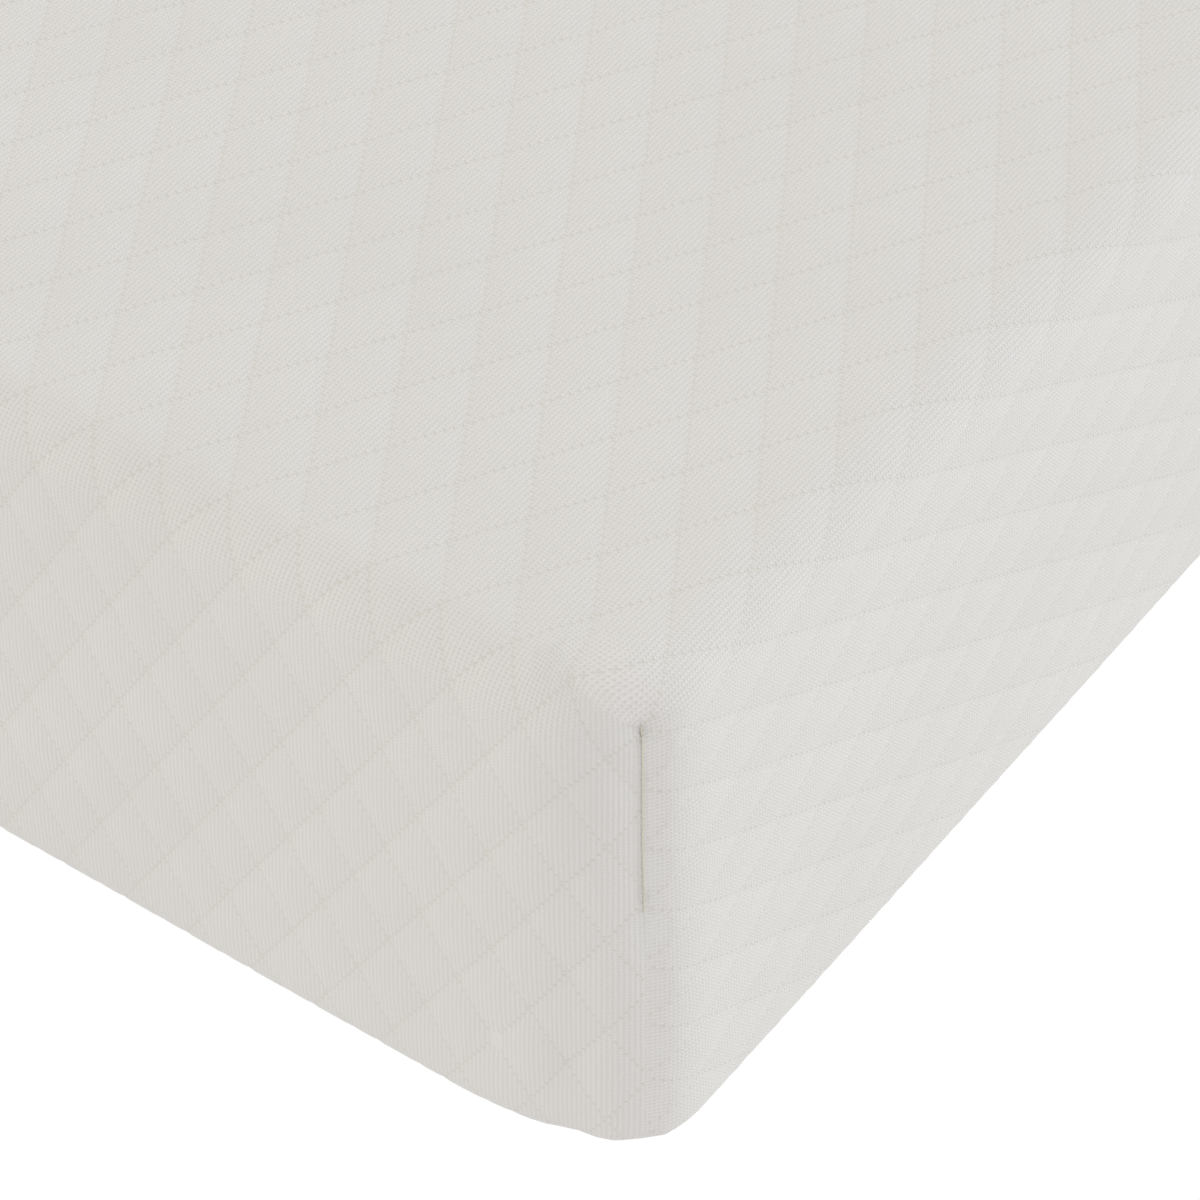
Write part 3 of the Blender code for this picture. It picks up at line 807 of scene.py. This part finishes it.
def alongPathTree():
    # Puts a copy of one small element on every point, turned to the point's own directions.
    tree = bpy.data.node_groups.new("alongPath", "GeometryNodeTree")
    sockets = {}
    for name, kind in (("Geometry", "NodeSocketGeometry"), ("Element", "NodeSocketObject"),
                       ("Size", "NodeSocketVector"), ("Unevenness", "NodeSocketFloat"),
                       ("Seed", "NodeSocketInt"), ("Material", "NodeSocketMaterial")):
        sockets[name] = tree.interface.new_socket(name, in_out="INPUT", socket_type=kind).identifier
    tree.interface.new_socket("Geometry", in_out="OUTPUT", socket_type="NodeSocketGeometry")
    given = tree.nodes.new("NodeGroupInput").outputs
    element = tree.nodes.new("GeometryNodeObjectInfo")
    tree.links.new(given["Element"], element.inputs["Object"])
    rotation = None
    for attribute, axis, pivot in (("up", "Z", "AUTO"), ("along", "X", "Z")):
        read = tree.nodes.new("GeometryNodeInputNamedAttribute")
        read.data_type = "FLOAT_VECTOR"
        read.inputs["Name"].default_value = attribute
        turn = tree.nodes.new("FunctionNodeAlignRotationToVector")
        turn.axis = axis
        turn.pivot_axis = pivot
        tree.links.new(read.outputs["Attribute"], turn.inputs["Vector"])
        if rotation is not None:
            tree.links.new(rotation, turn.inputs["Rotation"])
        rotation = turn.outputs[0]
    spread = tree.nodes.new("FunctionNodeRandomValue")
    spread.data_type = "FLOAT"
    tree.links.new(calc(tree, "SUBTRACT", 1.0, given["Unevenness"]), spread.inputs[2])
    tree.links.new(calc(tree, "ADD", 1.0, given["Unevenness"]), spread.inputs[3])
    tree.links.new(given["Seed"], spread.inputs["Seed"])
    size = tree.nodes.new("ShaderNodeVectorMath")
    size.operation = "SCALE"
    tree.links.new(given["Size"], size.inputs[0])
    tree.links.new(spread.outputs[1], size.inputs["Scale"])
    place = tree.nodes.new("GeometryNodeInstanceOnPoints")
    tree.links.new(given["Geometry"], place.inputs["Points"])
    tree.links.new(element.outputs["Geometry"], place.inputs["Instance"])
    tree.links.new(rotation, place.inputs["Rotation"])
    tree.links.new(size.outputs[0], place.inputs["Scale"])
    smooth = tree.nodes.new("GeometryNodeSetShadeSmooth")
    realise = tree.nodes.new("GeometryNodeRealizeInstances")
    paint = tree.nodes.new("GeometryNodeSetMaterial")
    done = tree.nodes.new("NodeGroupOutput")
    tree.links.new(place.outputs[0], realise.inputs[0])
    tree.links.new(realise.outputs[0], smooth.inputs[0])
    tree.links.new(smooth.outputs[0], paint.inputs["Geometry"])
    tree.links.new(given["Material"], paint.inputs["Material"])
    tree.links.new(paint.outputs[0], done.inputs[0])
    return tree, sockets


def repeatAlong(name, tree, sockets, path, facts, element, material):
    # Runs the tree on a path's points and keeps the result as one plain mesh.
    places, along, up = path
    mesh = bpy.data.meshes.new(name)
    mesh.from_pydata(places.tolist(), [], [])
    for attribute, values in (("along", along), ("up", up)):
        layer = mesh.attributes.new(attribute, "FLOAT_VECTOR", "POINT")
        layer.data.foreach_set("vector", np.asarray(values, dtype=np.float32).ravel())
    piece = bpy.data.objects.new(name, mesh)
    bpy.context.scene.collection.objects.link(piece)
    modifier = piece.modifiers.new("alongPath", "NODES")
    modifier.node_group = tree
    modifier[sockets["Element"]] = element
    modifier[sockets["Size"]] = facts["size"]
    modifier[sockets["Unevenness"]] = facts["unevenness"]
    modifier[sockets["Seed"]] = facts["seed"]
    modifier[sockets["Material"]] = material
    evaluated = piece.evaluated_get(bpy.context.evaluated_depsgraph_get())
    result = bpy.data.meshes.new_from_object(evaluated)
    piece.modifiers.remove(modifier)
    piece.data = result
    for attribute in ("along", "up"):
        if attribute in result.attributes:
            result.attributes.remove(result.attributes[attribute])
    result.name = name
    return piece


def makeStitchElement():
    # One stitch: thread that comes up, lies on the cloth and goes down again.
    bm = bmesh.new()
    lying = Matrix.Rotation(math.pi / 2, 3, "Y").to_4x4()
    bmesh.ops.create_uvsphere(bm, u_segments=6, v_segments=4, radius=0.5, matrix=lying)
    for vert in bm.verts:
        vert.co.z -= 0.35 * (2 * vert.co.x) ** 2
    return elementObject(bm, "stitchElement")


def makeTurnElement():
    # One turn of the coil, open towards the tape. Across is +Y, the zip's middle line is at y 0.
    head = zipFacts["headFrom"]
    heel = zipFacts["heelFrom"]
    half = zipFacts["turnHalfHeight"]
    bend = half * 0.45
    route = [(-0.00022, heel, -half), (-0.00016, head + bend, -half), (-0.00006, head, -half + bend),
             (0.00006, head, half - bend), (0.00016, head + bend, half), (0.00022, heel, half)]
    bm = bmesh.new()
    rings = []
    for number, centre in enumerate(route):
        before = Vector(route[max(number - 1, 0)])
        after = Vector(route[min(number + 1, len(route) - 1)])
        direction = (after - before).normalized()
        sideways = Vector((1, 0, 0))
        other = direction.cross(sideways).normalized()
        radius = zipFacts["filament"]
        widest = 1.15 if 1 < number < 4 else 1.0
        ring = []
        for k in range(4):
            angle = math.pi * (0.25 + 0.5 * k)
            across = sideways * radius * widest * math.cos(angle)
            ring.append(bm.verts.new(Vector(centre) + across + other * radius * math.sin(angle)))
        rings.append(ring)
    for first, second in zip(rings, rings[1:]):
        for k in range(4):
            bm.faces.new((first[k], first[(k + 1) % 4], second[(k + 1) % 4], second[k]))
    bm.faces.new(rings[0][::-1])
    bm.faces.new(rings[-1])
    bmesh.ops.recalc_face_normals(bm, faces=bm.faces[:])
    return elementObject(bm, "turnElement")


def elementObject(bm, name):
    mesh = bpy.data.meshes.new(name)
    bm.to_mesh(mesh)
    bm.free()
    return bpy.data.objects.new(name, mesh)


# Thread sizes: length, width and thickness of one stitch.
stitching = {
    "seam": {
        "size": (0.0031, 0.0006, 0.0005), "pitch": 0.0029, "unevenness": 0.06, "seed": 3,
        "proud": 0.0006,
        "downShare": 0.55,  # how much of the wall's height the thread shows over
    },
    "hem": {"size": (0.0026, 0.00042, 0.00036), "pitch": 0.0030, "unevenness": 0.05, "seed": 5},
    "coil": {"size": (1.0, 1.0, 1.0), "unevenness": 0.01, "seed": 7},
}
hemStitchInsets = (0.0418, 0.0441)
panelStitchInsets = (0.0606, 0.0629)


def seamPath(table):
    # Down the open upper half of each corner seam, just proud of the cloth.
    pitch = stitching["seam"]["pitch"]
    end = sideReach + wallHeight * stitching["seam"]["downShare"]
    v = np.arange(sideReach + 0.0025, end, pitch)
    allPlaces, allAlong, allUp = [], [], []
    for sideX in (-1, 1):
        for sideY in (-1, 1):
            places = []
            for shift in (0.0, -0.0006, 0.0006):
                x = np.full(len(v), sideX * (endReach + halfWidth - cover["cornerRadius"] - 1e-6))
                y = sideY * (v + shift + halfLength - cover["cornerRadius"])
                points, normals, _ = dressedPoint(table, x, y, stitching["seam"]["proud"])
                places.append(points)
            along = places[2] - places[1]
            along /= np.linalg.norm(along, axis=1, keepdims=True)
            allPlaces.append(places[0])
            allAlong.append(along)
            allUp.append(normals)
    return np.concatenate(allPlaces), np.concatenate(allAlong), np.concatenate(allUp)


def sewnRows(insets, height):
    # Rows of stitches right round the underside.
    rows = []
    for inset in insets:
        places, along, _ = pathAround(inset, 0.0, 0.0, stitching["hem"]["pitch"], height)
        rows.append((places, along, np.tile((0.0, 0.0, -1.0), (len(places), 1))))
    return [np.concatenate(parts) for parts in zip(*rows)]


def coilPath(outer):
    nodeLow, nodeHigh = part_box("zip_coil_outer")
    stopLow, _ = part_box("zip_top_stop_outer")
    _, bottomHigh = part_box("zip_bottom_stop")
    zipLine = halfWidth + (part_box("zip_bottom_stop")[0].x + bottomHigh.x) / 2
    pitch = zipFacts["turnPitch"]
    middle = (nodeLow.z + nodeHigh.z) / 2
    places, along, _ = pathAround(zipLine, stopLow.y, bottomHigh.y, pitch, middle)
    if outer:
        # Element's Y must point outwards: up x along, with up towards the floor.
        places = places + along * pitch / 2
        return places, along, np.tile((0.0, 0.0, -1.0), (len(places), 1))
    return places, along, np.tile((0.0, 0.0, 1.0), (len(places), 1))


def makeThread(name, colour):
    # Sewing thread: fine fibres on a soft sheen.
    material, tree, shader = newMaterial(name, 0.6, specular=0.3, sheen=0.15)
    place = objectPlace(tree)
    fuzz = noise(tree, place, 2600.0, 3.0, 0.6)
    darker = tuple(part * 0.84 for part in colour)
    finishShader(tree, shader, blendColours(tree, fuzz, darker, colour), fuzz, 0.0001)
    return material


def makeFibre(name, colour, scale, depthOfBump, roughness=0.95):
    # Matted fibres: two sizes of noise, one of them drawn out sideways.
    material, tree, shader = newMaterial(name, roughness, specular=0.1, sheen=0.1)
    place = objectPlace(tree)
    stretch = tree.nodes.new("ShaderNodeMapping")
    stretch.inputs["Scale"].default_value = (1.0, 0.35, 0.8)
    tree.links.new(place, stretch.inputs["Vector"])
    fine = noise(tree, stretch.outputs[0], scale, 4.0, 0.65)
    broad = noise(tree, place, scale / 12, 2.0)
    height = calc(tree, "MULTIPLY_ADD", broad, 0.6, calc(tree, "MULTIPLY", fine, 0.4))
    darker = tuple(part * 0.86 for part in colour)
    finishShader(tree, shader, blendColours(tree, height, darker, colour), height, depthOfBump)
    return material


def makeNonwoven(name, colour):
    # Bonded fleece: fibres, with a grid of pressed points.
    material, tree, shader = newMaterial(name, 0.9, specular=0.12)
    place = objectPlace(tree)
    fibres = noise(tree, place, 900.0, 4.0, 0.7)
    points = tree.nodes.new("ShaderNodeTexVoronoi")
    points.inputs["Scale"].default_value = 420.0
    points.inputs["Randomness"].default_value = 0.25
    tree.links.new(place, points.inputs["Vector"])
    pressed = calc(tree, "LESS_THAN", points.outputs["Distance"], 0.28)
    height = calc(tree, "MULTIPLY_ADD", pressed, -0.5, fibres)
    darker = tuple(part * 0.82 for part in colour)
    finishShader(tree, shader, blendColours(tree, height, darker, colour), height, 0.0002)
    return material


def makeFoam(name, colour, cellScale):
    # Open cells, each a tiny hollow painted darker in its middle and lighter on its rim, and slow drifts of
    # tone.
    material, tree, shader = newMaterial(name, 0.88, specular=0.15)
    place = objectPlace(tree)
    cells = tree.nodes.new("ShaderNodeTexVoronoi")
    cells.feature = "SMOOTH_F1"
    cells.inputs["Scale"].default_value = cellScale
    tree.links.new(place, cells.inputs["Vector"])
    drift = noise(tree, place, 9.0, 3.0)
    height = cells.outputs["Distance"]
    darker = tuple(part * 0.80 for part in colour)
    # Painted shade: darker towards each cell's middle, lighter on its rim.
    shade = calc(tree, "MULTIPLY_ADD", height, 0.9, calc(tree, "MULTIPLY", drift, 0.3))
    finishShader(tree, shader, blendColours(tree, shade, darker, colour), height, 0.0005)
    return material


def makeLinerKnit(name, colour, stitch):
    # Thin stockinette on the object's own coordinates: ribs round the sides and along the top.
    material, tree, shader = newMaterial(name, 0.9, specular=0.12, sheen=0.1)
    split = tree.nodes.new("ShaderNodeSeparateXYZ")
    tree.links.new(objectPlace(tree), split.inputs[0])
    x, y, z = split.outputs
    across = calc(tree, "MULTIPLY", calc(tree, "ADD", x, z), 2 * math.pi / stitch)
    down = calc(tree, "MULTIPLY", calc(tree, "ADD", y, z), 2 * math.pi / stitch / 0.8)
    loops = calc(tree, "MULTIPLY", calc(tree, "COSINE", across), calc(tree, "SINE", down))
    height = calc(tree, "MULTIPLY_ADD", loops, 0.5, 0.5)
    darker = tuple(part * 0.84 for part in colour)
    # Painted shade: the colour darkens where the loops dip.
    finishShader(tree, shader, blendColours(tree, height, darker, colour), height, 0.0002)
    return material


def makeSpacerKnit(name, colour):
    # Breathable base knit: staggered small holes in a ribbed ground.
    material, tree, shader = newMaterial(name, 0.9, specular=0.12, sheen=0.1)
    place, u, v = fabricPlace(tree)
    across = calc(tree, "MULTIPLY", u, 10.0)
    along = calc(tree, "MULTIPLY", v, 11.0)
    holes = spot(tree, centred(tree, across), centred(tree, along), 4.2, 3.4)
    between = spot(tree, centred(tree, calc(tree, "ADD", across, 0.5)),
                   centred(tree, calc(tree, "ADD", along, 0.5)), 4.2, 3.4)
    hollow = calc(tree, "ADD", holes, between)
    ribs = calc(tree, "COSINE", calc(tree, "MULTIPLY", across, 8 * math.pi))
    fuzz = noise(tree, place, 90.0, 3.0, 0.7)
    ground = calc(tree, "MULTIPLY_ADD", ribs, 0.08, calc(tree, "MULTIPLY", fuzz, 0.25))
    height = calc(tree, "MULTIPLY_ADD", hollow, -0.8, ground)
    # Painted shade: the holes are coloured much darker, as shade inside them.
    darker = tuple(part * 0.55 for part in colour)
    paler = tuple(part * 0.93 for part in colour)
    shaded = blendColours(tree, fuzz, paler, colour)
    finishShader(tree, shader, blendColours(tree, hollow, shaded, darker), height, 0.0005)
    return material


def makeWoven(name, colour):
    # Zip tape: fine warp ribs along it and a slanting weft across.
    material, tree, shader = newMaterial(name, 0.8, specular=0.2, sheen=0.08)
    place, u, v = fabricPlace(tree)
    warp = calc(tree, "COSINE", calc(tree, "MULTIPLY", u, 2 * math.pi / 0.55))
    slant = calc(tree, "ADD", calc(tree, "MULTIPLY", v, 2 * math.pi * 2), calc(tree, "MULTIPLY", u, 2.2))
    weft = calc(tree, "SINE", slant)
    fuzz = noise(tree, place, 3.0, 3.0, 0.7)
    height = calc(tree, "MULTIPLY_ADD", warp, 0.30, calc(tree, "MULTIPLY_ADD", weft, 0.18, fuzz))
    darker = tuple(part * 0.80 for part in colour)
    # Painted shade: the colour darkens where the warp and weft dip.
    share = calc(tree, "MULTIPLY_ADD", height, 0.5, 0.2)
    finishShader(tree, shader, blendColours(tree, share, darker, colour), height, 0.0001)
    return material


def makeNylon(name, colour):
    # Drawn filament: faint streaks under a soft gloss.
    material, tree, shader = newMaterial(name, 0.38, specular=0.45)
    streaks = noise(tree, objectPlace(tree), 1400.0, 2.0)
    darker = tuple(part * 0.88 for part in colour)
    finishShader(tree, shader, blendColours(tree, streaks, darker, colour), streaks, 0.00003)
    return material


def makeMetal(name, colour):
    # Nickel finish, tumbled: fine brushing along Y and slightly duller wear spots.
    material, tree, shader = newMaterial(name, 0.34, specular=0.5, metallic=1.0)
    place = objectPlace(tree)
    stretch = tree.nodes.new("ShaderNodeMapping")
    stretch.inputs["Scale"].default_value = (1.0, 0.08, 1.0)
    tree.links.new(place, stretch.inputs["Vector"])
    brushing = noise(tree, stretch.outputs[0], 9000.0, 3.0, 0.6)
    wear = noise(tree, place, 700.0, 3.0, 0.6)
    darker = tuple(part * 0.80 for part in colour)
    finishShader(tree, shader, blendColours(tree, wear, darker, colour), brushing, 0.00002)
    tree.links.new(calc(tree, "MULTIPLY_ADD", wear, 0.22, 0.24), shader.inputs["Roughness"])
    return material


def paintNode(nodeName, material):
    # A carried-over piece keeps its shape and gets the finished material.
    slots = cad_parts[nodeName].material_slots
    if len(slots) == 0:
        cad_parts[nodeName].data.materials.append(material)
    for place in slots:
        place.material = material


def placePiece(piece, nodes):
    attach(piece, "mattress")
    if nodes:
        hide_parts(*nodes)


def addFloor():
    mesh = bpy.data.meshes.new("floor")
    size = 6.0
    mesh.from_pydata([(-size, -size, -0.0015), (size, -size, -0.0015), (size, size, -0.0015),
                      (-size, size, -0.0015)], [], [(0, 1, 2, 3)])
    floor = bpy.data.objects.new("floor", mesh)
    bpy.context.scene.collection.objects.link(floor)
    material = bpy.data.materials.new("pale_floor")
    material.use_nodes = True
    shader = material.node_tree.nodes["Principled BSDF"]
    shader.inputs["Base Color"].default_value = (0.0, 0.0, 0.0, 1.0)
    shader.inputs["Roughness"].default_value = 1.0
    shader.inputs["Specular IOR Level"].default_value = 0.0
    shader.inputs["Emission Color"].default_value = (1.0, 1.0, 1.0, 1.0)
    shader.inputs["Emission Strength"].default_value = 1.01
    # Clear from below, so that the underside can be looked at.
    tree = material.node_tree
    side = tree.nodes.new("ShaderNodeNewGeometry")
    tree.links.new(calc(tree, "SUBTRACT", 1.0, side.outputs["Backfacing"]), shader.inputs["Alpha"])
    mesh.materials.append(material)


# Soft white studio: an even white room, a large cool light from the far right, a weaker one from the left.
studio = {
    "room": (0.982, 0.978, 1.0),
    "roomStrength": 1.008,
    "right": {"towards": (0.62, 0.76, 0.12), "strength": 1.19, "colour": (0.86, 0.97, 1.0), "spread": 40},
    "left": {"towards": (-0.70, -0.45, 0.55), "strength": 0.41, "colour": (0.95, 1.0, 0.66), "spread": 40},
}


def addLights():
    world = bpy.data.worlds.new("studio")
    bpy.context.scene.world = world
    world.use_nodes = True
    background = world.node_tree.nodes["Background"]
    background.inputs["Color"].default_value = (*studio["room"], 1.0)
    background.inputs["Strength"].default_value = studio["roomStrength"]
    for name in ("right", "left"):
        facts = studio[name]
        lamp = bpy.data.lights.new(name + "_light", "SUN")
        lamp.energy = facts["strength"]
        lamp.color = facts["colour"]
        lamp.angle = math.radians(facts["spread"])
        item = bpy.data.objects.new(name + "_light", lamp)
        item.rotation_euler = Vector(facts["towards"]).to_track_quat("Z", "Y").to_euler()
        bpy.context.scene.collection.objects.link(item)


# A long lens close over the foot right corner.
cameraSetup = {
    "lens": 154.9,
    "fromCorner": (0.5561, -0.7878, 1.0308),
    "looking": (-0.40998, 0.57163, -0.71074),
}


def addCamera():
    camera = bpy.data.cameras.new("camera")
    camera.lens = cameraSetup["lens"]
    camera.sensor_width = 36.0
    camera.clip_start = 0.05
    camera.clip_end = 50.0
    item = bpy.data.objects.new("camera", camera)
    corner = Vector((halfWidth, -halfLength, depth))
    item.location = corner + Vector(cameraSetup["fromCorner"])
    item.rotation_euler = Vector(cameraSetup["looking"]).to_track_quat("-Z", "Y").to_euler()
    bpy.context.scene.collection.objects.link(item)
    bpy.context.scene.camera = item
    bpy.context.scene.view_settings.view_transform = "Standard"


print("studio: floor, lights and camera")
addFloor()
addLights()
addCamera()

print("materials")
knit = makeKnit("face_knit")
baseKnit = makeSpacerKnit("base_knit", (0.60, 0.585, 0.555))
tapeWeave = makeWoven("zip_tape", (0.66, 0.645, 0.615))
coilNylon = makeNylon("zip_coil", (0.70, 0.69, 0.66))
zipMetal = makeMetal("zip_metal", (0.52, 0.51, 0.49))
seamThread = makeThread("seam_thread", (0.68, 0.645, 0.52))
hemThread = makeThread("hem_thread", (0.70, 0.68, 0.64))
overlock = makeLinerKnit("seam_allowance", (0.62, 0.60, 0.56), 0.0016)
wadding = makeFibre("wadding", (0.80, 0.80, 0.78), 700.0, 0.0006)
backing = makeNonwoven("backing", (0.74, 0.74, 0.72))
linerKnit = makeLinerKnit("liner_knit", (0.78, 0.78, 0.76), 0.0011)
memoryFoam = makeFoam("memory_foam", (0.80, 0.77, 0.62), 1500.0)
baseFoam = makeFoam("base_foam", (0.76, 0.78, 0.80), 800.0)
finishes = {
    "quilt_wadding": wadding, "quilt_backing": backing, "base_panel_wadding": wadding,
    "corner_seam_foot_left": overlock, "corner_seam_foot_right": overlock,
    "corner_seam_head_left": overlock, "corner_seam_head_right": overlock,
    "inner_liner": linerKnit, "memory_foam_layer": memoryFoam, "base_foam_layer": baseFoam,
    "zip_slider": zipMetal, "zip_pull_tab": zipMetal, "zip_bottom_stop": zipMetal,
    "zip_top_stop_outer": zipMetal, "zip_top_stop_inner": zipMetal,
}
for nodeName, material in finishes.items():
    paintNode(nodeName, material)

print("quilting: one diamond blown up")
puffTable = puffHeights()

print("cover")
placePiece(makeCoverPiece(puffTable, knit), ["quilt_face_fabric"])

print("base panel")
placePiece(makeBasePanel(baseKnit), ["base_panel_fabric"])

print("zip tapes")
zipInset = halfWidth + (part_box("zip_bottom_stop")[0].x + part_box("zip_bottom_stop")[1].x) / 2
gap = zipFacts["tapeGap"]
width = zipFacts["tapeWidth"]
outerTape = makeTape("zip_tape_outer_woven", zipInset - gap - width, zipInset - gap, "zip_tape_outer",
                     tapeWeave)
placePiece(outerTape, ["zip_tape_outer"])
innerTape = makeTape("zip_tape_inner_woven", zipInset + gap, zipInset + gap + width, "zip_tape_inner",
                     tapeWeave)
placePiece(innerTape, ["zip_tape_inner"])

print("stitches and coil turns")
pathTree, pathSockets = alongPathTree()
stitch = makeStitchElement()
turn = makeTurnElement()
lipUnderside = cover["lipRise"] - 0.00008
for name, path, facts, element, material, nodes, slotName in (
    ("corner_seam_stitches", seamPath(puffTable), stitching["seam"], stitch, seamThread, [], "face_knit"),
    ("hem_stitches", sewnRows(hemStitchInsets, lipUnderside), stitching["hem"], stitch, hemThread, [],
     "face_knit"),
    ("panel_stitches", sewnRows(panelStitchInsets, lipUnderside), stitching["hem"], stitch, hemThread, [],
     "base_knit"),
    ("zip_coil_outer_turns", coilPath(True), stitching["coil"], turn, coilNylon, ["zip_coil_outer"],
     "zip_coil"),
    ("zip_coil_inner_turns", coilPath(False), stitching["coil"], turn, coilNylon, ["zip_coil_inner"],
     "zip_coil"),
):
    placePiece(repeatAlong(name, pathTree, pathSockets, path, facts, element, material), nodes)
for element in (stitch, turn):
    bpy.data.objects.remove(element, do_unlink=True)
bpy.data.node_groups.remove(pathTree)
